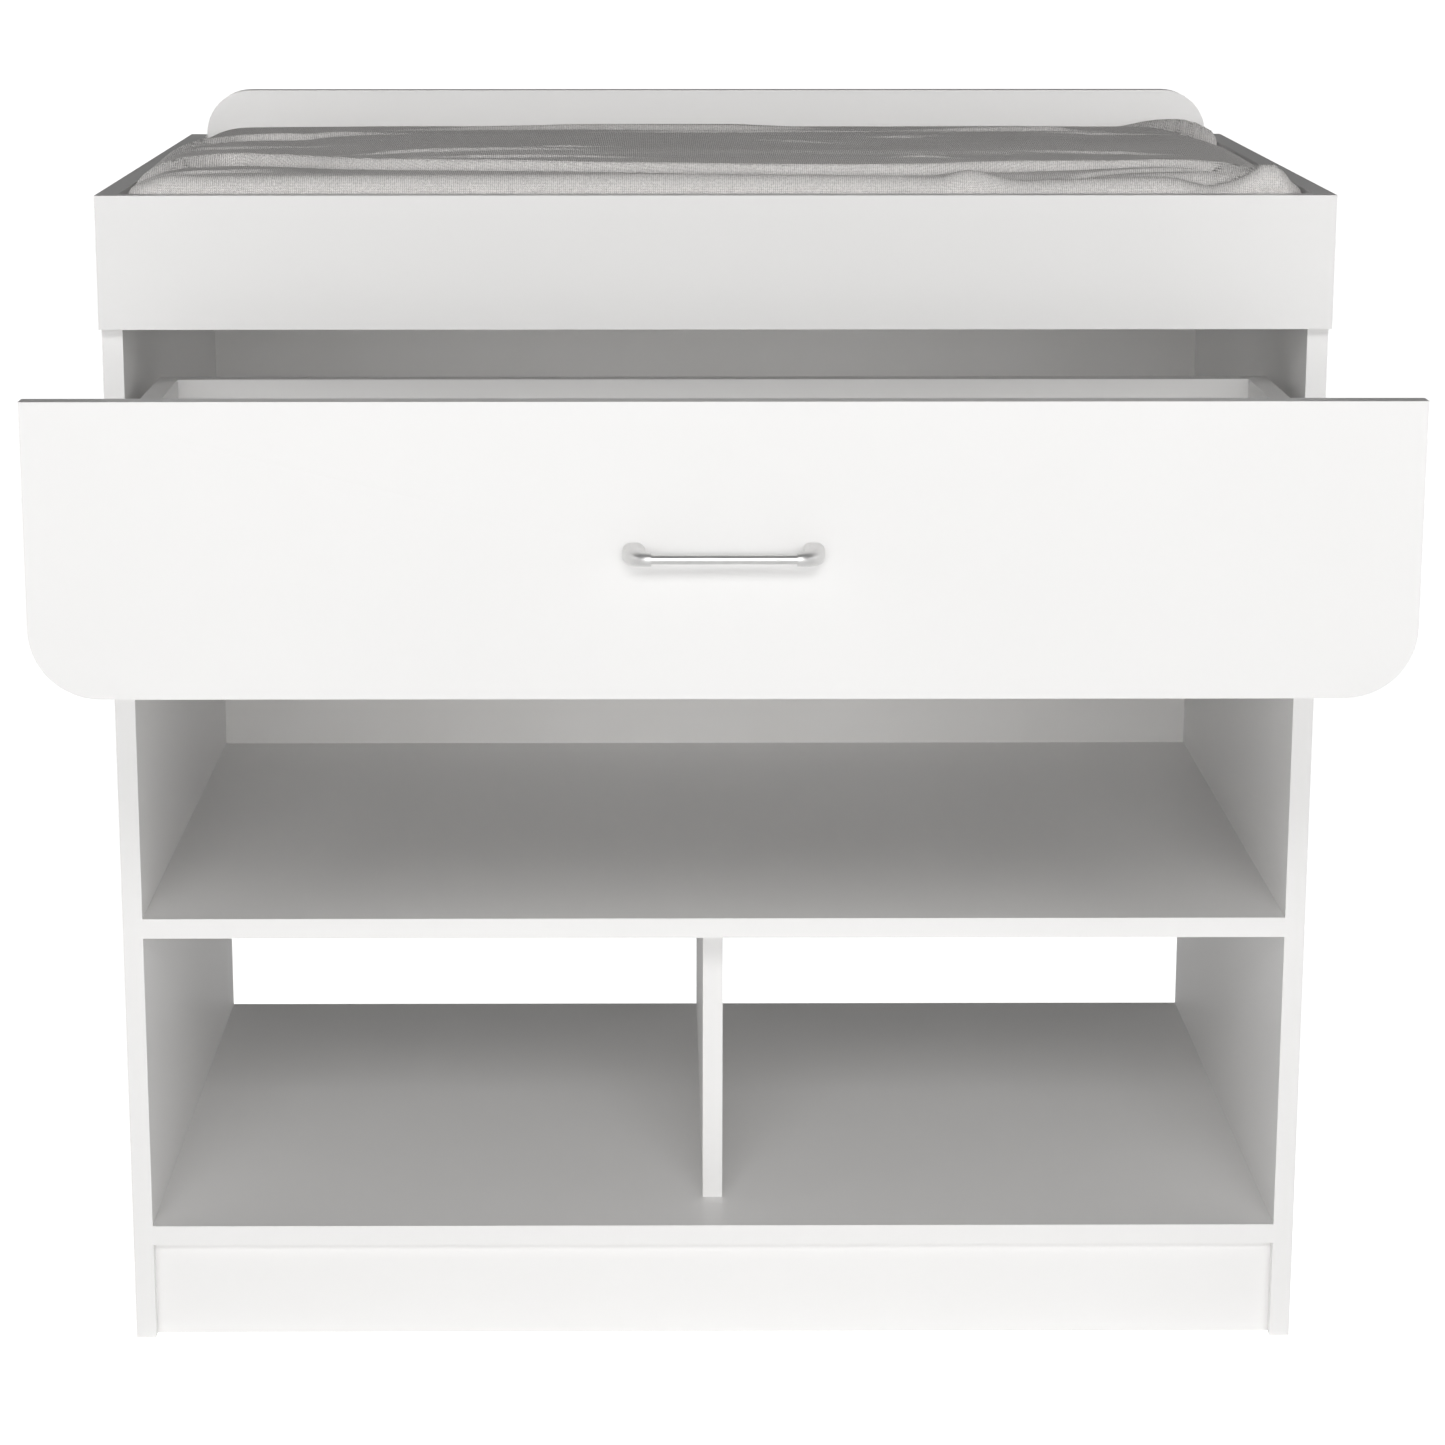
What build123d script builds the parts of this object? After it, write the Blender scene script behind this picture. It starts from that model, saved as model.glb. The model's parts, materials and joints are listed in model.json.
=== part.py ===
from build123d import *
from math import cos, pi, sin
import os

# ---------------------------------------------------------------------------
# Changing table: an open cabinet with a tray top, one wide drawer and bays.
# Design axes, in millimetres: X to the right, Y to the back with 0 at the
# front edges of the side panels, Z up with 0 at the floor. The finished pieces
# are moved along Y at the end, so that the origin lies at the floor under the
# middle of the table as it stands with its drawer open.
# ---------------------------------------------------------------------------

# Driving dimensions of the cabinet
board = 15.0                    # thickness of every coated board
width = 880.0                   # over the side panels
depth = 560.0                   # of a side panel
side_height = 868.0
rail_height = 95.0              # front wall of the tray
back_wall_rise = 38.0           # how far the tray's back wall stands above the sides
back_wall_radius = 37.0         # its two upper corners
shelf_top = 332.0               # upper face of the mid shelf
plinth_height = 75.0
plinth_recess = 10.0
divider_recess = 62.0
panel_thickness = 3.0           # thin nailed-on back panel
panel_overlap = 13.0            # how far the back panel laps over the boards' rear edges
panel_inset = 3.0               # of its ends from the outer faces of the side panels

# Drawer
drawer_front_height = 190.0
drawer_front_gap = 1.0          # between the drawer front and the tray's front wall
drawer_corner_radius = 45.0
drawer_open = 348.0             # how far it stands open at rest
drawer_length = 450.0
drawer_top = 723.0
drawer_box_height = 121.0
drawer_bottom_thickness = 4.0
groove_depth = 6.0
groove_clearance = 0.25
groove_height = 8.0             # from the lower edge of the drawer side up to the groove

# Telescopic slides, measured across the gap from the side panel's inner face
slide_gap = 12.5
slide_length = 450.0
slide_setback = 1.0
slide_height_z = 648.0          # middle of the slide above the floor
sheet = 1.2                     # steel sheet of the slide members
outer_half_height = 22.5
middle_half_height = 17.7
inner_half_height = 13.3
middle_web_x = 3.2
cage_sheet = 0.4
outer_cage_x = 2.4
inner_cage_x = 4.8
cage_length = 210.0
outer_ball = 3.0                # ball diameters
inner_ball = 2.6
balls_per_row = 9

# Handle
handle_height_z = 676.0
handle_bar_diameter = 6.0
handle_bar_visible = 91.0       # between the noses of the two end posts
handle_bar_reach = 21.5         # bar axis in front of the drawer front
handle_post_pitch = 113.0       # between the middles of the post feet
handle_base_width = 14.0
handle_base_height = 13.6
handle_nose_height = 8.4
handle_nose_reach = 25.8        # the nose's rounded end in front of the drawer front

# Changing pad
pad_clearance = 2.0             # between the pad and the walls of the tray
pad_lift = 0.3                  # the cover's own loft under the pad
pad_crest_height = 103.0
pad_corner_height = 74.0        # where the dome would meet a sharp corner
pad_corner_radius = 30.0

# Fittings
dowel_radius = 4.0
dowel_length = 30.0
dowel_in_face = 10.0            # length of a dowel inside the board it stands on
cam_radius = 7.5
cam_depth = 12.5
cam_setback = 34.0              # middle of the cam from the end of its board
bolt_radius = 3.0
bolt_thread_radius = 2.5
bolt_thread_length = 11.0
bolt_bore_radius = 3.5
bolt_tip_gap = 1.0              # between the bolt's end and the middle of its cam
cam_key = (2.0, 9.0, 2.5)       # the screwdriver recess in a cam's face
cap_radius = 8.5
cap_thickness = 1.0
cap_rounding = 0.6              # of its thickness
nail_radius = 0.8
nail_length = 16.0
nail_head_radius = 2.2
nail_head_thickness = 0.8
nail_pitch = 95.0
nail_inset = 6.5                # of the rows in from the upper and lower edges of the panel
nail_side_inset = 1.0           # of the side rows in from the middle of the side panels
nail_corner_inset = 20.0        # where a row starts, in from the side panels

# Worked out from the driving dimensions
half = width / 2
inner_half = half - board
rail_bottom = side_height - rail_height
tray_floor = rail_bottom + board
back_wall_top = side_height + back_wall_rise
shelf_bottom = shelf_top - board
bottom_bottom = plinth_height
bottom_top = plinth_height + board
divider_half = board / 2
panel_bottom = shelf_top - panel_overlap
panel_top = rail_bottom + panel_overlap
drawer_front_top = rail_bottom - drawer_front_gap
drawer_front_bottom = drawer_front_top - drawer_front_height
drawer_half = inner_half - slide_gap
drawer_inner_half = drawer_half - board
drawer_y = -drawer_open         # rear face of the drawer front, as it stands open
drawer_rear = drawer_y + drawer_length
drawer_low = drawer_top - drawer_box_height
drawer_floor = drawer_low + groove_height
handle_face = drawer_y - board  # visible face of the drawer front
rest_front = handle_face - handle_nose_reach
rest_rear = depth + panel_thickness
origin_y = (rest_front + rest_rear) / 2

SIDES = {"left": -1, "right": 1}
ON_PLANE = (Align.CENTER, Align.CENTER, Align.MIN)
FROM_CORNER = (Align.MIN, Align.MIN, Align.MIN)
UP = (0, 0, 1)
DOWN = (0, 0, -1)
FORWARD = (0, -1, 0)
BACKWARD = (0, 1, 0)
parts = {}


# ---------------------------------------------------------------------------
# Small helpers
# ---------------------------------------------------------------------------

def block(x0, x1, y0, y1, z0, z1):
    """A box between two corners."""
    low = (min(x0, x1), min(y0, y1), min(z0, z1))
    size = (abs(x1 - x0), abs(y1 - y0), abs(z1 - z0))
    return Pos(*low) * Box(*size, align=FROM_CORNER)


def rod(start, direction, radius, length):
    """A round bar from start along direction."""
    plane = Plane(origin=start, z_dir=direction)
    return plane * Cylinder(radius, length, align=ON_PLANE)


def step_along(start, direction, distance):
    """The point at a distance from start along direction."""
    return tuple(s + d * distance for s, d in zip(start, direction))


def opposite(direction):
    return tuple(-d for d in direction)


def cut(solid, tools):
    """Take a list of tools away from a solid."""
    return solid - tools if tools else solid


class Fittings:
    """The knock-down fittings of one assembly, with the holes that they need in each board."""

    def __init__(self):
        self.holes = {}
        self.dowels = []
        self.bolts = []
        self.cams = []
        self.caps = []

    def drill(self, board_name, tool):
        self.holes.setdefault(board_name, []).append(tool)

    def dowel(self, face_board, end_board, point, direction):
        """A wooden dowel from the face of one board into the end of another.

        point lies where the two meet, and direction points into the end_board.
        """
        start = step_along(point, direction, -dowel_in_face)
        peg = rod(start, direction, dowel_radius, dowel_length)
        self.dowels.append(peg)
        self.drill(face_board, peg)
        self.drill(end_board, peg)

    def cam(self, face_board, end_board, point, direction, mouth, cap=False):
        """A cam lock in end_board that pulls on a bolt screwed into face_board.

        mouth is the direction in which the cam's round hole opens.
        """
        outward = opposite(direction)
        thread = rod(point, outward, bolt_thread_radius, bolt_thread_length)
        reach = cam_setback - cam_radius
        bore = rod(point, direction, bolt_bore_radius, reach + bolt_tip_gap)
        shank = rod(point, direction, bolt_radius, cam_setback - bolt_tip_gap)
        middle = step_along(point, direction, cam_setback)
        surface = step_along(middle, mouth, board / 2)
        pocket = rod(surface, opposite(mouth), cam_radius, cam_depth)
        slot = rod(point, direction, bolt_bore_radius, cam_setback)
        recess = Plane(origin=surface, z_dir=opposite(mouth)) * Box(*cam_key, align=ON_PLANE)
        disc = rod(surface, opposite(mouth), cam_radius, cam_depth) - [slot, recess]
        self.bolts.append(thread + shank)
        self.cams.append(disc)
        self.drill(face_board, thread)
        self.drill(end_board, bore)
        self.drill(end_board, pocket)
        if cap:
            lid = rod(surface, mouth, cap_radius, cap_thickness)
            self.caps.append(softened_rim(lid, mouth))


def softened_rim(lid, mouth):
    """Round the outer rim of a cover cap."""
    edges = lid.edges().sort_by(Axis((0, 0, 0), mouth))
    return fillet(edges[-1:], cap_thickness * cap_rounding)


carcass = Fittings()
drawer_set = Fittings()


# ---------------------------------------------------------------------------
# Carcass: where its fittings go
# ---------------------------------------------------------------------------

shelf_cam_places = (60.0, 500.0)        # from the front, in the boards between the sides
shelf_dowel_places = (92.0, 468.0)
divider_cam_places = (130.0, 490.0)
divider_dowel_places = (170.0, 450.0)
tray_dowel_places = (-270.0, 0.0, 270.0)
plinth_dowel_places = (-200.0, 200.0)
wall_cam_z = rail_bottom + 47.0         # half way up the tray's front and back walls
wall_dowel_z = (rail_bottom + 17.0, rail_bottom + 77.0)
plinth_cam_z = 45.0
plinth_dowel_z = 15.0
back_wall_mid_y = depth - board / 2
plinth_mid_y = plinth_recess + board / 2
tray_mid_z = tray_floor - board / 2


def join_boards_to_sides():
    """Cams and dowels at both ends of every board that runs between the side panels."""
    between = {
        "tray_base_board": tray_mid_z,
        "mid_shelf": shelf_top - board / 2,
        "bottom_board": bottom_top - board / 2,
    }
    for side, s in SIDES.items():
        panel = f"{side}_side_panel"
        inward = (-s, 0, 0)
        edge = s * inner_half
        for name, z in between.items():
            for y in shelf_cam_places:
                carcass.cam(panel, name, (edge, y, z), inward, DOWN)
            for y in shelf_dowel_places:
                carcass.dowel(panel, name, (edge, y, z), inward)
        carcass.cam(panel, "tray_back_board", (edge, back_wall_mid_y, wall_cam_z), inward, BACKWARD)
        for z in wall_dowel_z:
            carcass.dowel(panel, "tray_back_board", (edge, back_wall_mid_y, z), inward)
        carcass.cam(panel, "plinth", (edge, plinth_mid_y, plinth_cam_z), inward, BACKWARD)
        carcass.dowel(panel, "plinth", (edge, plinth_mid_y, plinth_dowel_z), inward)


def join_tray_walls():
    """The front wall laps over the side panels; both walls are pegged to the tray's floor."""
    for side, s in SIDES.items():
        panel = f"{side}_side_panel"
        mid_x = s * (half - board / 2)
        carcass.cam("tray_front_rail", panel, (mid_x, 0, wall_cam_z), BACKWARD, (-s, 0, 0), cap=True)
        for z in wall_dowel_z:
            carcass.dowel("tray_front_rail", panel, (mid_x, 0, z), BACKWARD)
    for x in tray_dowel_places:
        carcass.dowel("tray_front_rail", "tray_base_board", (x, 0, tray_mid_z), BACKWARD)
        carcass.dowel("tray_back_board", "tray_base_board", (x, depth - board, tray_mid_z), FORWARD)


def join_divider_and_plinth():
    """The upright between the two lower bays, and the plinth under the bottom board."""
    for y in divider_cam_places:
        carcass.cam("bottom_board", "divider", (0, y, bottom_top), UP, (1, 0, 0), cap=True)
        carcass.cam("mid_shelf", "divider", (0, y, shelf_bottom), DOWN, (1, 0, 0), cap=True)
    for y in divider_dowel_places:
        carcass.dowel("bottom_board", "divider", (0, y, bottom_top), UP)
        carcass.dowel("mid_shelf", "divider", (0, y, shelf_bottom), DOWN)
    for x in plinth_dowel_places:
        carcass.dowel("bottom_board", "plinth", (x, plinth_mid_y, bottom_bottom), DOWN)


# ---------------------------------------------------------------------------
# Carcass: the boards
# ---------------------------------------------------------------------------

def back_wall():
    """The tray's back wall, its two upper corners rounded."""
    wall = block(-inner_half, inner_half, depth - board, depth, rail_bottom, back_wall_top)
    upper = wall.edges().filter_by(Axis.Y).group_by(Axis.Z)[-1]
    return fillet(upper, back_wall_radius)


def make_carcass():
    """Every board of the carcass, drilled for its fittings."""
    boards = {
        "tray_base_board": block(-inner_half, inner_half, 0, depth - board, rail_bottom, tray_floor),
        "tray_front_rail": block(-half, half, -board, 0, rail_bottom, side_height),
        "tray_back_board": back_wall(),
        "mid_shelf": block(-inner_half, inner_half, 0, depth, shelf_bottom, shelf_top),
        "bottom_board": block(-inner_half, inner_half, 0, depth, bottom_bottom, bottom_top),
        "divider": block(-divider_half, divider_half, divider_recess, depth, bottom_top, shelf_bottom),
        "plinth": block(-inner_half, inner_half, plinth_recess, plinth_recess + board, 0, plinth_height),
    }
    for side, s in SIDES.items():
        boards[f"{side}_side_panel"] = block(s * inner_half, s * half, 0, depth, 0, side_height)
    for name, solid in boards.items():
        parts[name] = cut(solid, carcass.holes.get(name))


def nail_places():
    """Where the back panel is nailed: along both side panels, the mid shelf and the tray's back wall."""
    edge_x = half - board / 2 - nail_side_inset
    low_z = panel_bottom + nail_inset
    high_z = panel_top - nail_inset
    rows = round((high_z - low_z) / nail_pitch)
    pitch_z = (high_z - low_z) / rows
    reach_x = inner_half - nail_corner_inset
    columns = round(2 * reach_x / nail_pitch / 2) * 2 - 1
    pitch_x = 2 * reach_x / columns
    for i in range(1, rows):
        for s in SIDES.values():
            yield s * edge_x, low_z + i * pitch_z
    for i in range(columns + 1):
        for z in (low_z, high_z):
            yield -reach_x + i * pitch_x, z


def make_back_panel():
    """The thin back panel behind the drawer and the middle bay, and the nails that hold it."""
    panel_half = half - panel_inset
    rear = depth + panel_thickness
    shank_length = nail_length - nail_head_thickness
    nails = []
    holes = []
    for x, z in nail_places():
        head_back = (x, rear, z)
        head = rod(head_back, FORWARD, nail_head_radius, nail_head_thickness)
        shank = rod(step_along(head_back, FORWARD, nail_head_thickness), FORWARD, nail_radius, shank_length)
        nail = head + shank
        nails.append(nail)
        holes.append(nail)
    panel = block(-panel_half, panel_half, depth, rear, panel_bottom, panel_top)
    parts["back_panel"] = cut(panel, holes)
    parts["back_panel_nails"] = nails
    for name in ("left_side_panel", "right_side_panel", "mid_shelf", "tray_back_board"):
        parts[name] = cut(parts[name], holes)


# ---------------------------------------------------------------------------
# Telescopic slides. Places across the gap are counted from the side panel's
# inner face towards the drawer.
# ---------------------------------------------------------------------------

screw_places = (32.0, 224.0, 416.0)     # along a slide member, from its front end
window_length = 26.0
window_height = 13.0
screw_head_radius = 4.2
screw_head_thickness = 0.9
screw_radius = 2.5
screw_depth = 10.0
screw_play = 0.05
cross_width = 0.9               # arms of the cross recess in a screw head
cross_depth = 0.6               # of the head's thickness
lip = 1.0                       # by which a channel's mouth is turned in
bend_radius = 1.6
outer_mouth_x = 10.5            # where each channel's mouth ends, across the gap
middle_mouth_x = 12.0
inner_mouth_x = 5.9
outer_cage_mouth_x = 9.0
inner_cage_mouth_x = 10.2
outer_ball_x = 6.5              # middles of the balls, across the gap
inner_ball_x = 8.2
ball_margin = 12.0              # from the end of a cage to its first ball
ball_play = 0.06
ball_socket_height = 2.0
cage_window_length = 50.0
cage_window_rim = 12.0
cage_window_places = (0.2, 0.5, 0.8)    # parts of the cage's length
cutter_reach = 1.5              # how far a window's cutter stands out at each side of the sheet


def across(s, g0, g1, y0, y1, z0, z1):
    """A block in the gap on side s, from g0 to g1 across it."""
    return block(s * (inner_half - g0), s * (inner_half - g1), y0, y1, z0, z1)


def channel(s, web, mouth, y0, half_height):
    """A steel channel with its web at one place across the gap and its lipped mouth at another."""
    middle_x = s * (inner_half - (web + mouth) / 2)
    reach = abs(mouth - web)
    plane = Plane(origin=(middle_x, y0, slide_height_z), x_dir=(1, 0, 0), z_dir=BACKWARD)
    outline = RectangleRounded(reach, 2 * half_height, bend_radius)
    hollow = RectangleRounded(reach - 2 * sheet, 2 * (half_height - sheet), bend_radius - sheet)
    tube = extrude(plane * (outline - hollow), slide_length)
    inside = half_height - sheet - lip
    outward = 1 if mouth > web else -1
    opening = across(s, mouth - outward * (sheet + 0.1), mouth + outward, y0 - 1, y0 + slide_length + 1,
                     slide_height_z - inside, slide_height_z + inside)
    return tube - opening


def window(s, g, y, height, length):
    """A rounded opening through the web of a slide member or a ball cage."""
    plane = Plane(origin=(s * (inner_half - g), y, slide_height_z), x_dir=BACKWARD, z_dir=(s, 0, 0))
    return extrude(plane * SlotOverall(length, height), cutter_reach, both=True)


def cross_recess(plane, length, depth_of_cross):
    """The two arms of the recess that a cross-head screwdriver fits."""
    arms = [(length, cross_width, depth_of_cross), (cross_width, length, depth_of_cross)]
    return [plane * Box(*arm, align=ON_PLANE) for arm in arms]


def screw(start, direction, radius, length, head_radius, head_thickness):
    """A screw with a low head on start and a cross recess, its shank along direction."""
    shank = rod(start, direction, radius, length)
    head = rod(start, opposite(direction), head_radius, head_thickness)
    top = step_along(start, opposite(direction), head_thickness)
    plane = Plane(origin=top, z_dir=direction)
    return (shank + head) - cross_recess(plane, head_radius, head_thickness * cross_depth)


def ball_cage(s, web, mouth, strip_z, y0, ball_radius, ball_g):
    """A thin U-shaped cage and the two rows of balls that it spaces out."""
    low = slide_height_z - strip_z - cage_sheet / 2
    high = slide_height_z + strip_z + cage_sheet / 2
    cage = across(s, web, web + cage_sheet, y0, y0 + cage_length, low, high)
    cage += across(s, web, mouth, y0, y0 + cage_length, low, low + cage_sheet)
    cage += across(s, web, mouth, y0, y0 + cage_length, high - cage_sheet, high)
    pitch = (cage_length - 2 * ball_margin) / (balls_per_row - 1)
    balls = []
    sockets = []
    for i in range(balls_per_row):
        for way in (-1, 1):
            centre = (s * (inner_half - ball_g), y0 + ball_margin + i * pitch, slide_height_z + way * strip_z)
            balls.append(Pos(*centre) * Sphere(ball_radius))
            socket_low = step_along(centre, DOWN, ball_socket_height / 2)
            sockets.append(rod(socket_low, UP, ball_radius + ball_play, ball_socket_height))
    window_tall = 2 * strip_z - cage_window_rim
    openings = [window(s, web + cage_sheet / 2, y0 + cage_length * part, window_tall, cage_window_length)
                for part in cage_window_places]
    return cage - sockets - openings, balls


def make_slides():
    """Both telescopic slides: three members, two ball cages and the screws at either side."""
    travelled = drawer_open
    cabinet_y = slide_setback
    middle_y = slide_setback - travelled / 2
    drawer_member_y = slide_setback - travelled
    cage_middle = slide_setback + slide_length / 2
    outer_cage_y = cage_middle - travelled / 4 - cage_length / 2
    inner_cage_y = cage_middle - travelled * 3 / 4 - cage_length / 2
    cabinet_screws = []
    drawer_screws = []
    for side, s in SIDES.items():
        outer = channel(s, 0, outer_mouth_x, cabinet_y, outer_half_height)
        middle = channel(s, middle_web_x, middle_mouth_x, middle_y, middle_half_height)
        inner = channel(s, slide_gap, inner_mouth_x, drawer_member_y, inner_half_height)
        outward = (s, 0, 0)
        inward = (-s, 0, 0)
        side_holes = []
        drawer_side_holes = []
        for place in screw_places:
            seat = (s * (inner_half - sheet), cabinet_y + place, slide_height_z)
            body = screw(seat, outward, screw_radius, sheet + screw_depth, screw_head_radius, screw_head_thickness)
            cabinet_screws.append(body)
            side_holes.append(rod(seat, outward, screw_radius + screw_play, sheet + screw_depth))
            seat = (s * (drawer_half + sheet), drawer_member_y + place, slide_height_z)
            body = screw(seat, inward, screw_radius, sheet + screw_depth, screw_head_radius, screw_head_thickness)
            drawer_screws.append(body)
            drawer_side_holes.append(rod(seat, inward, screw_radius + screw_play, sheet + screw_depth))
        openings = [window(s, middle_web_x + sheet / 2, middle_y + place, window_height, window_length)
                    for place in screw_places]
        parts[f"{side}_slide_cabinet_member"] = outer - side_holes
        parts[f"{side}_slide_middle_member"] = middle - openings
        parts[f"{side}_slide_drawer_member"] = inner - drawer_side_holes
        parts[f"{side}_side_panel"] = cut(parts[f"{side}_side_panel"], side_holes)
        for tool in drawer_side_holes:
            drawer_set.drill(f"drawer_{side}_side", tool)
        outer_strip = (outer_half_height - sheet + middle_half_height) / 2
        inner_strip = (middle_half_height - sheet + inner_half_height) / 2
        cage, balls = ball_cage(s, outer_cage_x, outer_cage_mouth_x, outer_strip, outer_cage_y,
                                outer_ball / 2, outer_ball_x)
        parts[f"{side}_outer_ball_cage"] = cage
        parts[f"{side}_outer_balls"] = balls
        cage, balls = ball_cage(s, inner_cage_x, inner_cage_mouth_x, inner_strip, inner_cage_y,
                                inner_ball / 2, inner_ball_x)
        parts[f"{side}_inner_ball_cage"] = cage
        parts[f"{side}_inner_balls"] = balls
    parts["cabinet_slide_screws"] = cabinet_screws
    parts["drawer_slide_screws"] = drawer_screws


# ---------------------------------------------------------------------------
# Drawer
# ---------------------------------------------------------------------------

drawer_cam_z = (628.0, 690.0)
drawer_dowel_z = (656.0, 708.0)
drawer_back_screw_z = (632.0, 700.0)
drawer_back_screw_length = 40.0
drawer_back_screw_head = 3.0
drawer_back_dowel_z = 666.0
sunk_cross_depth = 1.6
bottom_screw_places = (-320.0, -160.0, 0.0, 160.0, 320.0)
bottom_screw_radius = 1.5
bottom_screw_length = 16.0
bottom_screw_head_radius = 3.2
bottom_screw_head_thickness = 1.6
bottom_play = 0.5               # between the drawer bottom and the ends of its grooves


def countersunk_screw(start, direction, radius, length, head_radius, head_depth):
    """A screw sunk flush with the surface at start, with a cross recess."""
    plane = Plane(origin=start, z_dir=direction)
    head = plane * Cone(head_radius, radius, head_depth, align=ON_PLANE)
    return (rod(start, direction, radius, length) + head) - cross_recess(plane, head_radius, sunk_cross_depth)


def make_drawer():
    """The drawer's front, sides, back and bottom with the fittings between them."""
    groove_low = drawer_floor - groove_clearance
    groove_high = drawer_floor + drawer_bottom_thickness + groove_clearance
    groove_half = drawer_inner_half + groove_depth
    groove = block(-groove_half, groove_half, drawer_y - groove_depth, drawer_rear + 1, groove_low, groove_high)
    bottom_half = groove_half - bottom_play
    bottom_front = drawer_y - groove_depth + bottom_play
    bottom_top_z = drawer_floor + drawer_bottom_thickness

    front = block(-half, half, handle_face, drawer_y, drawer_front_bottom, drawer_front_top)
    front = fillet(front.edges().filter_by(Axis.Y).group_by(Axis.Z)[0], drawer_corner_radius)
    rear_mid_y = drawer_rear - board / 2
    back = block(-drawer_inner_half, drawer_inner_half, drawer_rear - board, drawer_rear, groove_high, drawer_top)
    bottom = block(-bottom_half, bottom_half, bottom_front, drawer_rear, drawer_floor, bottom_top_z)

    back_screws = []
    for side, s in SIDES.items():
        name = f"drawer_{side}_side"
        mid_x = s * (drawer_half - board / 2)
        for z in drawer_cam_z:
            drawer_set.cam("drawer_front", name, (mid_x, drawer_y, z), BACKWARD, (s, 0, 0))
        for z in drawer_dowel_z:
            drawer_set.dowel("drawer_front", name, (mid_x, drawer_y, z), BACKWARD)
        drawer_set.dowel(name, "drawer_back", (s * drawer_inner_half, rear_mid_y, drawer_back_dowel_z), (-s, 0, 0))
        for z in drawer_back_screw_z:
            start = (s * drawer_half, rear_mid_y, z)
            fixing = countersunk_screw(start, (-s, 0, 0), screw_radius, drawer_back_screw_length,
                                       screw_head_radius, drawer_back_screw_head)
            back_screws.append(fixing)
            envelope = rod(start, (-s, 0, 0), screw_radius, drawer_back_screw_length)
            envelope += Plane(origin=start, z_dir=(-s, 0, 0)) * Cone(
                screw_head_radius, screw_radius, drawer_back_screw_head, align=ON_PLANE)
            drawer_set.drill(name, envelope)
            drawer_set.drill("drawer_back", envelope)

    bottom_screws = []
    for x in bottom_screw_places:
        start = (x, rear_mid_y, drawer_floor)
        bottom_screws.append(screw(start, UP, bottom_screw_radius, bottom_screw_length,
                                   bottom_screw_head_radius, bottom_screw_head_thickness))
        tool = rod(start, UP, bottom_screw_radius, bottom_screw_length)
        drawer_set.drill("drawer_back", tool)
        drawer_set.drill("drawer_bottom", tool)

    solids = {"drawer_front": front - groove, "drawer_back": back, "drawer_bottom": bottom}
    for side, s in SIDES.items():
        wall = block(s * drawer_inner_half, s * drawer_half, drawer_y, drawer_rear, drawer_low, drawer_top)
        solids[f"drawer_{side}_side"] = wall - groove
    for name, solid in solids.items():
        parts[name] = cut(solid, drawer_set.holes.get(name))
    parts["drawer_back_screws"] = back_screws
    parts["drawer_bottom_screws"] = bottom_screws


# ---------------------------------------------------------------------------
# Handle
# ---------------------------------------------------------------------------

handle_screw_radius = 2.0
handle_screw_in_post = 8.0
handle_screw_head_radius = 4.0
handle_screw_head_thickness = 2.4
handle_screw_play = 0.3
bar_in_post = 5.0
bar_play = 0.05
post_foot_radius = 5.0          # of the foot's corners
post_straight = 0.3             # part of the reach before the post turns in
post_shoulder = (0.6, 0.8)      # by which the post is narrower and lower than its foot
post_taper = 0.8                # below one, the post thins sooner along its turn
post_sections = 4
post_foot_roundness = 0.8       # one would make a section's ends half circles
post_nose_roundness = 0.98


def handle_post(s):
    """One cast end post: a foot on the drawer front that tapers and turns in towards the bar."""
    foot_x = s * handle_post_pitch / 2
    mouth_x = s * handle_bar_visible / 2
    bar_y = handle_face - handle_bar_reach
    foot = Plane(origin=(foot_x, handle_face, handle_height_z), x_dir=(1, 0, 0), z_dir=FORWARD)
    sections = [foot * RectangleRounded(handle_base_width, handle_base_height, post_foot_radius)]
    run_x = abs(foot_x - mouth_x)
    straight = handle_bar_reach * post_straight
    run_y = handle_bar_reach - straight
    start_width = handle_base_width - post_shoulder[0]
    start_height = handle_base_height - post_shoulder[1]
    for i in range(post_sections + 1):
        part = i / post_sections
        turn = part * pi / 2
        x = foot_x - s * run_x * (1 - cos(turn))
        y = handle_face - straight - run_y * sin(turn)
        heading = (-s * sin(turn), -cos(turn), 0)
        along = (cos(turn), -s * sin(turn), 0)
        plane = Plane(origin=(x, y, handle_height_z), x_dir=along, z_dir=heading)
        ease = part ** post_taper
        wide = start_width + (handle_nose_height - start_width) * ease
        high = start_height + (handle_nose_height - start_height) * ease
        roundness = post_foot_roundness + (post_nose_roundness - post_foot_roundness) * part
        sections.append(plane * RectangleRounded(wide, high, min(wide, high) / 2 * roundness))
    post = loft(sections)
    bar_end = (s * (handle_bar_visible / 2 + bar_in_post), bar_y, handle_height_z)
    socket = rod(bar_end, (-s, 0, 0), handle_bar_diameter / 2 + bar_play, 2 * bar_in_post)
    thread = rod((foot_x, handle_face, handle_height_z), FORWARD, handle_screw_radius, handle_screw_in_post)
    return post - [socket, thread]


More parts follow.
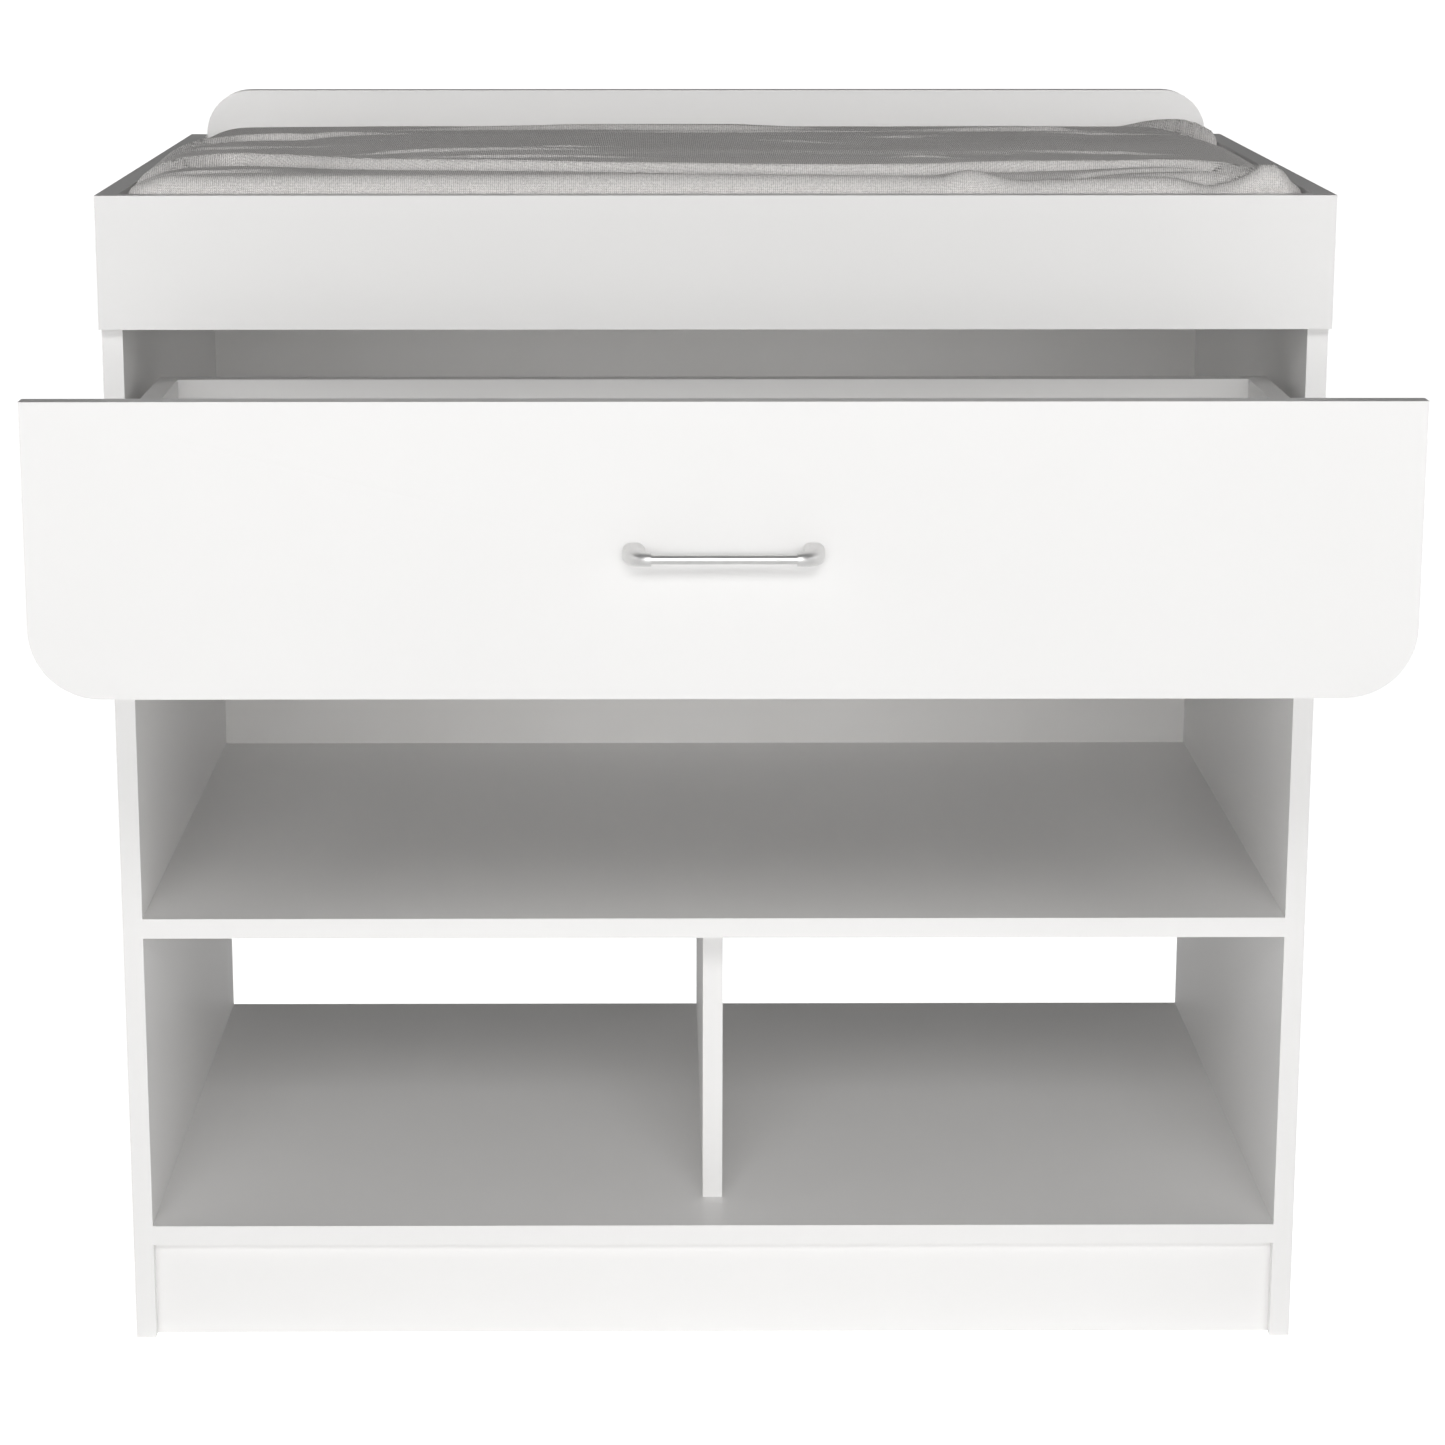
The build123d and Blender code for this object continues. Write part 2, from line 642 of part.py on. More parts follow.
def make_handle():
    """The bar, its two posts and the screws that hold it from inside the drawer."""
    bar_y = handle_face - handle_bar_reach
    bar_half = handle_bar_visible / 2 + bar_in_post
    bar = rod((-bar_half, bar_y, handle_height_z), (1, 0, 0), handle_bar_diameter / 2, 2 * bar_half)
    parts["handle_bar"] = bar
    screws = []
    for side, s in SIDES.items():
        parts[f"handle_{side}_post"] = handle_post(s)
        start = (s * handle_post_pitch / 2, drawer_y, handle_height_z)
        length = board + handle_screw_in_post
        screws.append(screw(start, FORWARD, handle_screw_radius, length,
                            handle_screw_head_radius, handle_screw_head_thickness))
        drawer_set.drill("drawer_front", rod(start, FORWARD, handle_screw_radius + handle_screw_play, board))
    parts["handle_screws"] = screws


# ---------------------------------------------------------------------------
# Changing pad
# ---------------------------------------------------------------------------

def make_pad():
    """The padded mat that lies loose in the tray: an upright-sided slab under a shallow dome."""
    tray_length = depth - board
    reach_x = inner_half - pad_clearance
    reach_y = tray_length / 2 - pad_clearance
    base = tray_floor + pad_lift
    slab = block(-reach_x, reach_x, pad_clearance, tray_length - pad_clearance, base, base + pad_crest_height)
    slab = fillet(slab.edges().filter_by(Axis.Z), pad_corner_radius)
    fall = pad_crest_height - pad_corner_height
    dome_radius = (reach_x**2 + reach_y**2 + fall**2) / (2 * fall)
    middle = (0, tray_length / 2, base + pad_crest_height - dome_radius)
    parts["changing_pad"] = slab & Pos(*middle) * Sphere(dome_radius)


# ---------------------------------------------------------------------------
# The whole table
# ---------------------------------------------------------------------------

def collect_fittings(fittings, prefix):
    """Give each kind of fitting its own node."""
    parts[f"{prefix}_dowels"] = fittings.dowels
    parts[f"{prefix}_cam_bolts"] = fittings.bolts
    parts[f"{prefix}_cam_locks"] = fittings.cams


def write_parts():
    """Move every piece so that the origin is under the middle, and write one file for each node."""
    os.makedirs("parts", exist_ok=True)
    for name, content in parts.items():
        solids = content if isinstance(content, list) else [content]
        flat = [solid for piece in solids for solid in piece.solids()]
        moved = [Pos(0, -origin_y, 0) * solid for solid in flat]
        whole = moved[0] if len(moved) == 1 else Compound(children=moved)
        export_step(whole, f"parts/{name}.step")


join_boards_to_sides()
join_tray_walls()
join_divider_and_plinth()
make_carcass()
make_back_panel()
make_slides()
make_handle()
make_drawer()
collect_fittings(carcass, "carcass")
collect_fittings(drawer_set, "drawer")
parts["cam_cover_caps"] = carcass.caps
make_pad()
write_parts()
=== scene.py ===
"""The looks of the changing table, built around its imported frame.

Lengths are in metres in the frame's own axes: +X to the right, +Y to the back, +Z up.
"""

import json
import math

import bpy
import numpy as np
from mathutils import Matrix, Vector
from mathutils.bvhtree import BVHTree


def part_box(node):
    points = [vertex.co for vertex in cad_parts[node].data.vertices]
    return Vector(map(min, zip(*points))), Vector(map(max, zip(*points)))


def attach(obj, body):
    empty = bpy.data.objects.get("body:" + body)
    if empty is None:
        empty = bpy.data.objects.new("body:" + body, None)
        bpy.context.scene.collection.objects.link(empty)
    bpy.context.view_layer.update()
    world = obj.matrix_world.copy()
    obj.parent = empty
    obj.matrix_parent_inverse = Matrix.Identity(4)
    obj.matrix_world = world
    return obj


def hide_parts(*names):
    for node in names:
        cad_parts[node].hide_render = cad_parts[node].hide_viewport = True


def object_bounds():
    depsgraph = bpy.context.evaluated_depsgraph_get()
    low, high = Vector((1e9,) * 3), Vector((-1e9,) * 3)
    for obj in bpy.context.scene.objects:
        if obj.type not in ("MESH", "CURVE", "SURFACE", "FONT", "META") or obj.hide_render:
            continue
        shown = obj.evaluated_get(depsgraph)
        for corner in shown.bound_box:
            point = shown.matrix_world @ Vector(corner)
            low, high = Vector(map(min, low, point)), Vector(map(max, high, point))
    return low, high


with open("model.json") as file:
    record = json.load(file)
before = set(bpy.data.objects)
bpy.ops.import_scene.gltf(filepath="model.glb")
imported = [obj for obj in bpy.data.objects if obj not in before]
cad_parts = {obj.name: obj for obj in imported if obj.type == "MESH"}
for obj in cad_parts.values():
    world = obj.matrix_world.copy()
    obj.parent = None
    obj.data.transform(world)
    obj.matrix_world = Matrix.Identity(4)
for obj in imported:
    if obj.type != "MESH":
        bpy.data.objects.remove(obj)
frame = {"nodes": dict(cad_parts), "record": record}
cad_low, cad_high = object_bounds()
nodes = frame["nodes"]

MM = 0.001
side_low, side_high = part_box("left_side_panel")
front_y = side_low.y                    # front edges of the side panels


# ---------------------------------------------------------------------------
# Camera
# ---------------------------------------------------------------------------

def make_camera():
    """A long lens a little left of the middle, looking slightly down."""
    data = bpy.data.cameras.new("camera")
    data.sensor_width = 36.0
    data.lens = 93.75
    data.shift_x = 0.0300
    data.clip_end = 100.0
    camera = bpy.data.objects.new("camera", data)
    bpy.context.scene.collection.objects.link(camera)
    camera.location = (-0.0405, front_y - 2.6912, side_low.z + 1.1123)
    down = math.radians(13.187)
    turn_right = math.radians(0.307)
    camera.rotation_euler = (math.pi / 2 - down, 0.0, -turn_right)
    bpy.context.scene.camera = camera


# ---------------------------------------------------------------------------
# Node helpers
# ---------------------------------------------------------------------------

class Shader:
    """A small wrapper that adds nodes to a material's tree and links them."""

    def __init__(self, name):
        self.material = bpy.data.materials.new(name)
        self.material.use_nodes = True
        self.tree = self.material.node_tree
        self.surface = self.tree.nodes["Principled BSDF"]
        self.place = self.add("ShaderNodeTexCoord").outputs["Object"]

    def add(self, kind, **values):
        """A node with its properties set; a dict called sockets sets its inputs."""
        node = self.tree.nodes.new(kind)
        sockets = values.pop("sockets", {})
        for key, value in values.items():
            setattr(node, key, value)
        for key, value in sockets.items():
            if hasattr(value, "is_output"):
                self.tree.links.new(value, node.inputs[key])
            else:
                node.inputs[key].default_value = value
        return node

    def link(self, output, node, name):
        self.tree.links.new(output, node.inputs[name])

    def constant(self, **values):
        """Numbers that are the same all over, set on the surface's own sockets."""
        for key, value in values.items():
            self.surface.inputs[key.replace("_", " ")].default_value = value

    def noise(self, scale, detail=2.0, roughness=0.5, vector=None):
        vector = vector or self.place
        return self.add("ShaderNodeTexNoise",
                        sockets={"Vector": vector, "Scale": scale, "Detail": detail,
                                 "Roughness": roughness}).outputs["Fac"]

    def stretched(self, x, y, z):
        """Object coordinates scaled differently along each axis."""
        node = self.add("ShaderNodeMapping", sockets={"Vector": self.place, "Scale": (x, y, z)})
        return node.outputs["Vector"]

    def spread(self, value, low, high):
        """Map 0..1 to low..high."""
        node = self.add("ShaderNodeMapRange", sockets={"Value": value, "To Min": low, "To Max": high})
        return node.outputs["Result"]

    def math(self, operation, a, b=0.0):
        node = self.add("ShaderNodeMath", operation=operation)
        for index, value in enumerate((a, b)):
            if hasattr(value, "is_output"):
                self.tree.links.new(value, node.inputs[index])
            else:
                node.inputs[index].default_value = value
        return node.outputs["Value"]

    def wave(self, sine):
        """A sine's -1..1 as 0..1."""
        node = self.add("ShaderNodeMapRange", sockets={"Value": sine, "From Min": -1.0})
        return node.outputs["Result"]

    def ramp(self, value, stops):
        """A colour ramp from a list of (place, colour)."""
        node = self.add("ShaderNodeValToRGB", sockets={"Fac": value})
        elements = node.color_ramp.elements
        while len(elements) < len(stops):
            elements.new(0.5)
        for element, (place, colour) in zip(elements, stops):
            element.position = place
            element.color = (*colour, 1.0)
        return node.outputs["Color"]

    def bump(self, height, distance, strength=1.0, under=None):
        node = self.add("ShaderNodeBump",
                        sockets={"Height": height, "Distance": distance, "Strength": strength})
        if under is not None:
            self.link(under, node, "Normal")
        return node.outputs["Normal"]

    def finish(self, colour=None, roughness=None, normal=None):
        for output, name in ((colour, "Base Color"), (roughness, "Roughness"), (normal, "Normal")):
            if output is not None:
                self.link(output, self.surface, name)
        return self.material


def shade(colour, amount):
    return tuple(c * amount for c in colour)


# ---------------------------------------------------------------------------
# Materials
# ---------------------------------------------------------------------------

WHITE = (0.868, 0.862, 0.855)
CAST_NODES = ("handle_left_post", "handle_right_post")


def coated_board(name, tint=WHITE, gloss=0.42):
    """White melamine coating: a faint pearl grain and very slight clouding."""
    s = Shader(name)
    cloud = s.noise(5.0, 3.0)
    fine = s.noise(900.0, 2.0, 0.6)
    colour = s.ramp(cloud, [(0.3, shade(tint, 0.985)), (0.7, tint)])
    roughness = s.spread(fine, gloss - 0.05, gloss + 0.07)
    pearl = s.bump(s.noise(420.0, 3.0, 0.6), 0.00006, 0.5)
    wave = s.bump(s.noise(18.0, 1.0), 0.0004, 0.15, under=pearl)
    s.constant(Specular_IOR_Level=0.4)
    return s.finish(colour, roughness, wave)


def thin_panel():
    """White lacquered hardboard with a faint fibre."""
    s = Shader("thin_panel")
    cloud = s.noise(9.0, 4.0)
    fibre = s.noise(260.0, 4.0, 0.7, s.stretched(1.0, 1.0, 0.35))
    colour = s.ramp(cloud, [(0.25, (0.80, 0.79, 0.775)), (0.75, (0.84, 0.832, 0.82))])
    roughness = s.spread(fibre, 0.45, 0.62)
    s.constant(Specular_IOR_Level=0.35)
    return s.finish(colour, roughness, s.bump(fibre, 0.00012, 0.5))


def zinc_steel():
    """Zinc-plated sheet: rolled streaks along the strip and a faint passivated bloom."""
    s = Shader("zinc_steel")
    streak = s.noise(900.0, 3.0, 0.6, s.stretched(1.0, 0.02, 1.0))
    bloom = s.noise(45.0, 3.0)
    colour = s.ramp(bloom, [(0.3, (0.52, 0.53, 0.55)), (0.7, (0.66, 0.67, 0.68))])
    roughness = s.spread(streak, 0.24, 0.42)
    s.constant(Metallic=1.0)
    return s.finish(colour, roughness, s.bump(streak, 0.00003, 0.6))


def bearing_steel():
    s = Shader("bearing_steel")
    haze = s.noise(300.0, 2.0)
    colour = s.ramp(haze, [(0.3, (0.62, 0.62, 0.64)), (0.7, (0.72, 0.72, 0.73))])
    s.constant(Metallic=1.0)
    return s.finish(colour, s.spread(haze, 0.08, 0.2), s.bump(haze, 0.00002, 0.3))


def polished_metal():
    """Bright nickel-plated casting and bar, with hairline polishing marks along X."""
    s = Shader("polished_metal")
    hairline = s.noise(2600.0, 2.0, 0.5, s.stretched(0.03, 1.0, 1.0))
    haze = s.noise(120.0, 2.0)
    colour = s.ramp(haze, [(0.3, (0.71, 0.705, 0.70)), (0.7, (0.77, 0.765, 0.76))])
    s.constant(Metallic=1.0)
    return s.finish(colour, s.spread(hairline, 0.34, 0.44), s.bump(hairline, 0.00002, 0.4))


def cast_metal():
    """The handle's castings: the same plating over a blasted, softer surface."""
    s = Shader("cast_metal")
    grit = s.noise(1500.0, 2.0, 0.6)
    haze = s.noise(120.0, 2.0)
    colour = s.ramp(haze, [(0.3, (0.72, 0.715, 0.71)), (0.7, (0.77, 0.765, 0.76))])
    s.constant(Metallic=0.85)
    return s.finish(colour, s.spread(grit, 0.33, 0.43), s.bump(grit, 0.00002, 0.5))


def beech():
    s = Shader("beech")
    grain = s.noise(160.0, 4.0, 0.6, s.stretched(0.15, 1.0, 1.0))
    colour = s.ramp(grain, [(0.3, (0.50, 0.34, 0.20)), (0.7, (0.66, 0.48, 0.30))])
    return s.finish(colour, s.spread(grain, 0.55, 0.7), s.bump(grain, 0.0001, 0.5))


def white_plastic():
    s = Shader("white_plastic")
    fine = s.noise(700.0, 2.0)
    colour = s.ramp(s.noise(20.0), [(0.3, shade(WHITE, 0.97)), (0.7, WHITE)])
    s.constant(Specular_IOR_Level=0.5)
    return s.finish(colour, s.spread(fine, 0.3, 0.42), s.bump(fine, 0.00003, 0.4))


def woven_cover():
    """Coarse off-white cotton: ribs across the mat with a slub at every pick."""
    s = Shader("woven_cover")
    split = s.add("ShaderNodeSeparateXYZ", sockets={"Vector": s.place})
    pick = 0.00145
    wobble = s.math("MULTIPLY", s.noise(60.0, 2.0), 0.0012)
    across = s.math("ADD", split.outputs["X"], wobble)
    along = s.math("ADD", split.outputs["Y"], split.outputs["Z"])
    along = s.math("ADD", along, wobble)
    rib = s.math("SINE", s.math("MULTIPLY", across, 2 * math.pi / pick))
    slub = s.math("SINE", s.math("MULTIPLY", along, 2 * math.pi / pick))
    knot = s.math("MULTIPLY", s.wave(rib), s.wave(slub))
    yarn = s.noise(900.0, 3.0, 0.6)
    height = s.math("ADD", s.math("MULTIPLY", knot, 0.8), s.math("MULTIPLY", yarn, 0.35))
    patch = s.noise(620.0, 2.0, 0.6)
    # Colour follows the weave's height: painted shade darkens the low ground between the yarns, and random
    # patches vary the tone.
    gap_shade_and_patch_tone = s.math("ADD", height, s.math("MULTIPLY", s.math("SUBTRACT", patch, 0.5), 0.6))
    colour = s.ramp(gap_shade_and_patch_tone, [(0.1, (0.58, 0.564, 0.552)), (0.4, (0.93, 0.906, 0.888)),
                           (0.7, (0.98, 0.957, 0.94))])
    normal = s.bump(height, 0.0006, 1.0)
    s.constant(Sheen_Weight=0.06, Sheen_Roughness=0.5, Specular_IOR_Level=0.12)
    return s.finish(colour, s.spread(yarn, 0.8, 0.95), normal)


def dress_nodes():
    """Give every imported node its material, and take the sharpness off its edges."""
    finishes = {
        "white_board": coated_board("white_board"),
        "thin_panel": thin_panel(),
        "zinc_steel": zinc_steel(),
        "bearing_steel": bearing_steel(),
        "polished_metal": polished_metal(),
        "cast_metal": cast_metal(),
        "beech": beech(),
        "white_plastic": white_plastic(),
        "pad_fabric": woven_cover(),
    }
    edge_rounding = {"white_board": 0.5 * MM, "thin_panel": 0.2 * MM}
    for part in frame["record"]["subparts"]:
        node = nodes[part["node"]]
        slot = part["material_slot"]
        node.data.materials.clear()
        cast = part["node"] in CAST_NODES
        node.data.materials.append(finishes["cast_metal" if cast else slot])
        if slot in edge_rounding:
            bevel = node.modifiers.new("edge", "BEVEL")
            bevel.width = edge_rounding[slot]
            bevel.segments = 2
            bevel.limit_method = "ANGLE"
            bevel.angle_limit = math.radians(60)
            bevel.harden_normals = True
    return finishes


# ---------------------------------------------------------------------------
# Changing mat
#
# It is drawn as a grid of rows from the front of the tray to the back. Plan
# places are in millimetres, X from the middle of the tray and Y from the front
# edges of the side panels; heights are above the tops of the side panels.
# ---------------------------------------------------------------------------

MAT_HALF = 422.6                        # half its width
MAT_FRONT = 2.6
MAT_REAR = 542.4
MAT_CORNER = 12.0                       # radius of its corners in plan
FRONT_ROLL = 12.5                       # how far in the cover takes to turn over, at each side
LEFT_ROLL = 40.0
RIGHT_ROLL = 66.0
LEFT_FALL = 0.66                        # of the roll, by which the top drops at the side walls
RIGHT_FALL = 0.55
SWELLING = 0.35                         # how much of the cloth's unevenness is kept
MOST_SWELLING = 2.5                     # and the most of it that counts, before that
SWELLING_FRAMES = 20
PROBE_STEP = 12.0                       # between the places where it is measured
PLATEAU = 20.6                          # height of the top behind the long front folds
REAR_SLOPE_DROP = 6.2                   # how far the rear half sinks, and the last part of it again
REAR_EDGE_DROP = 4.0
FRONT_GROOVE = 1.6                      # depth of the groove behind the rolled front edge
TENT_X = 397                            # middle and height of the small tent at the front right
TENT_Y = 8
TENT_HEIGHT = 5.0
REAR_ROLL = 26.0
ROLL_STEPS = 9
COLUMN_PITCH = 2.6
ROW_PITCH = 1.25

# Height of the rolled front edge, then of the whole top behind it.
FRONT_EDGE = [
    (-423, -6), (-417, 5), (-409, 8), (-397, 12), (-364, 13), (-225, 14), (0, 14.2), (140, 13), (160, 12.4),
    (181, 17), (196, 14), (209, 10.6), (246, 10), (290, 11.4), (325, 11.2), (356, 5.8), (376, 11),
    (397, 17.5), (407, 10), (416, 0), (423, -4),
]

# Where the flap at the rear right starts to rise, and how high it stands.
REAR_FLAP_LINE = [(320, 536), (360, 512), (395, 486), (423, 452)]
REAR_FLAP_HEIGHT = [(330, 0), (345, 0), (365, 4), (391, 11.5), (403, 15.5), (414, 18), (423, 23)]

# Height of the strip between the front edge and the first long fold.
STRIP = [(-423, 13.2), (185, 13.2), (212, 11.0), (335, 11.4), (372, 13.2), (423, 13.2)]

# Long folds: where each runs, how high it stands, how wide its steep front is
# and how far behind it the cover takes to sink back.
FOLDS = [
    ([(-425, 55), (-395, 76), (-362, 116), (-325, 112), (-262, 76), (-112, 45), (20, 33), (104, 30), (165, 36),
      (207, 50), (280, 58), (345, 50), (385, 26), (425, 8)],
     [(-425, 5), (-362, 8.6), (-112, 6.6), (20, 6.0), (165, 6.2), (215, 6.4), (270, 6.0), (345, 4.4), (425, 2)],
     5.0, 2000),
    ([(228, 10), (262, 28), (333, 44), (378, 34), (405, 16)],
     [(228, 0), (262, 1.6), (333, 2.4), (378, 1.8), (405, 0)], 3.5, 26),
    ([(285, 26), (330, 28), (368, 22), (400, 12)], [(285, 0), (330, 1.5), (368, 2.4), (400, 0)], 3.0, 12),
    ([(-423, 150), (-390, 190), (-362, 226), (-315, 236), (-287, 252), (-228, 275)],
     [(-423, 0), (-390, 3.4), (-330, 5.4), (-287, 3.0), (-228, 0)], 5.0, 60),
    ([(-420, 110), (-385, 140), (-330, 160), (-250, 172)],
     [(-420, 0), (-385, 1.6), (-330, 1.0), (-250, 0)], 4.0, 22),
    ([(-405, 22), (-370, 33), (-330, 38), (-285, 36)],
     [(-405, 0), (-370, 2.2), (-330, 1.6), (-285, 0)], 3.0, 14),
    ([(-390, 52), (-345, 66), (-300, 70)], [(-390, 0), (-345, 1.5), (-300, 0)], 3.0, 16),
    ([(-285, 92), (-220, 112), (-150, 122), (-70, 118)],
     [(-285, 0), (-220, 1.9), (-150, 1.5), (-70, 0)], 3.5, 26),
    ([(-240, 74), (-170, 70), (-100, 72), (-20, 60)],
     [(-240, 0), (-170, 1.8), (-100, 1.4), (-20, 0)], 3.5, 12),
    ([(-165, 128), (-110, 142), (-60, 146)], [(-165, 0), (-110, 1.5), (-60, 0)], 3.5, 22),
    ([(-130, 328), (-40, 320), (30, 312), (120, 322), (235, 338)],
     [(-130, 0), (-40, 1.5), (30, 1.9), (120, 1.4), (235, 0)], 4.0, 34),
    ([(-300, 426), (-120, 416), (20, 412), (110, 430)],
     [(-300, 0), (-120, 3.4), (20, 3.8), (110, 0)], 6.0, 60),
    ([(120, 392), (210, 380), (280, 372), (338, 400)],
     [(120, 0), (210, 3.0), (280, 3.6), (338, 0)], 6.0, 70),
    ([(20, 226), (66, 200), (118, 184)], [(20, 0), (66, 1.3), (118, 0)], 5.0, 30),
    ([(112, 244), (150, 238), (178, 262)], [(112, 0), (150, 2.0), (178, 0)], 5.0, 20),
    ([(118, 66), (150, 72), (196, 60)], [(118, 0), (150, 1.6), (196, 0)], 4.0, 16),
    ([(210, 118), (300, 112), (352, 96)], [(210, 0), (300, 1.8), (352, 0)], 4.0, 22),
    ([(230, 300), (310, 316), (372, 300)], [(230, 0), (310, 2.0), (372, 0)], 5.0, 26),
]


def curve_through(points, places):
    """Heights or places between a few given ones, on a smooth cubic curve."""
    xs, ys = np.array(points, dtype=float).T
    slopes = np.gradient(ys, xs)
    index = np.clip(np.searchsorted(xs, places) - 1, 0, len(xs) - 2)
    span = xs[index + 1] - xs[index]
    t = np.clip((places - xs[index]) / span, 0.0, 1.0)
    return (ys[index] * (2 * t**3 - 3 * t**2 + 1) + ys[index + 1] * (3 * t**2 - 2 * t**3)
            + slopes[index] * span * (t**3 - 2 * t**2 + t) + slopes[index + 1] * span * (t**3 - t**2))


def ease(value):
    """0 below nought, 1 above one, and smooth between."""
    t = np.clip(value, 0.0, 1.0)
    return t * t * (3 - 2 * t)


def hump(value):
    return np.exp(-value**2)


def fold_height(x, y):
    """How far the folds lift the cover at each place, with the crease at each one's foot."""
    total = np.zeros_like(x)
    for line, heights, steep, back in FOLDS:
        middle = curve_through(line, x)
        slant = (curve_through(line, x + 1.0) - curve_through(line, x - 1.0)) / 2.0
        steep = steep * np.sqrt(1 + 1.4 * slant**2)
        height = np.maximum(np.interp(x, *np.array(heights, dtype=float).T), 0.0)
        behind = y - middle
        rise = ease((behind + steep) / steep)
        sink = 1 - ease((behind - 2.0) / back)
        crease = 0.16 * hump((behind + steep + 1.2) / 2.2)
        total += height * (rise * sink - crease)
    return total


def waviness(x, y):
    """Slight unevenness of the filling, and the cover's loose long ripples."""
    rng = np.random.default_rng(7)
    total = np.zeros_like(x)
    for length, across, size, count in ((420, 260, 0.9, 5), (260, 34, 0.16, 8), (150, 16, 0.07, 10)):
        for _ in range(count):
            phase = rng.uniform(0, 2 * math.pi, 2)
            stretch = rng.uniform(0.7, 1.4, 2)
            total += size * (np.sin(2 * math.pi * x / length * stretch[0] + phase[0])
                             * np.sin(2 * math.pi * y / across * stretch[1] + phase[1])) / math.sqrt(count)
    return total


def corner_flap(x, y):
    """The cover's spare cloth, tucked up into a small tent at the front right."""
    behind = y - TENT_Y
    return TENT_HEIGHT * hump((x - TENT_X - behind * 0.25) / 15.0) * hump(behind / 20.0)


def rear_flap(x, y):
    """The cover's spare cloth at the rear right, standing in the corner of the tray."""
    behind = y - curve_through(REAR_FLAP_LINE, x)
    lift = np.maximum(curve_through(REAR_FLAP_HEIGHT, x), 0)
    return lift * ease((behind + 10) / 16.0)


def mat_places(low, high, first_roll, last_roll, pitch):
    """Grid places from one edge of the mat to the other, close together where it turns over."""
    turn = np.linspace(0, math.pi / 2, ROLL_STEPS + 1)
    first = low + first_roll * (1 - np.cos(turn))
    last = high - last_roll * (1 - np.cos(turn[::-1]))
    inner = np.linspace(first[-1], last[0], round((last[0] - first[-1]) / pitch) + 1)
    return np.concatenate([first[:-1], inner, last[1:]])


def turned(distance, roll):
    """How far the surface has dropped, at a distance in from an edge that it turns over."""
    t = np.clip(distance / roll, 0.0, 1.0)
    return roll * (1 - np.sqrt(np.clip(1 - (1 - t)**2, 0.0, 1.0)))


def mat_top(x, y, with_folds):
    """Height of the mat's upper surface."""
    front = curve_through(FRONT_EDGE, x)
    strip = np.interp(x, *np.array(STRIP, dtype=float).T)
    first_fold = np.interp(x, *np.array(FOLDS[0][1], dtype=float).T)
    height = front + (strip - front) * ease((y - 19) / 16.0)
    height += (PLATEAU - strip - first_fold) * ease((y - 20) / 50.0)
    height -= REAR_SLOPE_DROP * ease((y - 270) / 130.0) + REAR_EDGE_DROP * ease((y - 450) / 90.0)
    height -= FRONT_GROOVE * hump((y - MAT_FRONT - FRONT_ROLL - 6) / 7.0)
    if with_folds:
        height += fold_height(x, y) + waviness(x, y) + corner_flap(x, y) + rear_flap(x, y)
    height -= turned(y - MAT_FRONT, FRONT_ROLL) + turned(MAT_REAR - y, REAR_ROLL)
    left = turned(x + MAT_HALF, LEFT_ROLL) * LEFT_FALL
    right = turned(MAT_HALF - x, RIGHT_ROLL) * RIGHT_FALL
    return height - left * ease((y - 8) / 40.0) - right * ease((y - 10) / 45.0)


def rounded_plan(x, y):
    """Pull the four corners of the grid in to a radius."""
    cx = np.clip(np.abs(x) - (MAT_HALF - MAT_CORNER), 0, None) / MAT_CORNER
    middle = (MAT_FRONT + MAT_REAR) / 2
    half_depth = (MAT_REAR - MAT_FRONT) / 2
    cy = np.clip(np.abs(y - middle) - (half_depth - MAT_CORNER), 0, None) / MAT_CORNER
    nx = np.sign(x) * (np.abs(x) - MAT_CORNER * (cx - cx * np.sqrt(1 - cy**2 / 2)))
    ny = middle + np.sign(y - middle) * (np.abs(y - middle) - MAT_CORNER * (cy - cy * np.sqrt(1 - cx**2 / 2)))
    return nx, ny


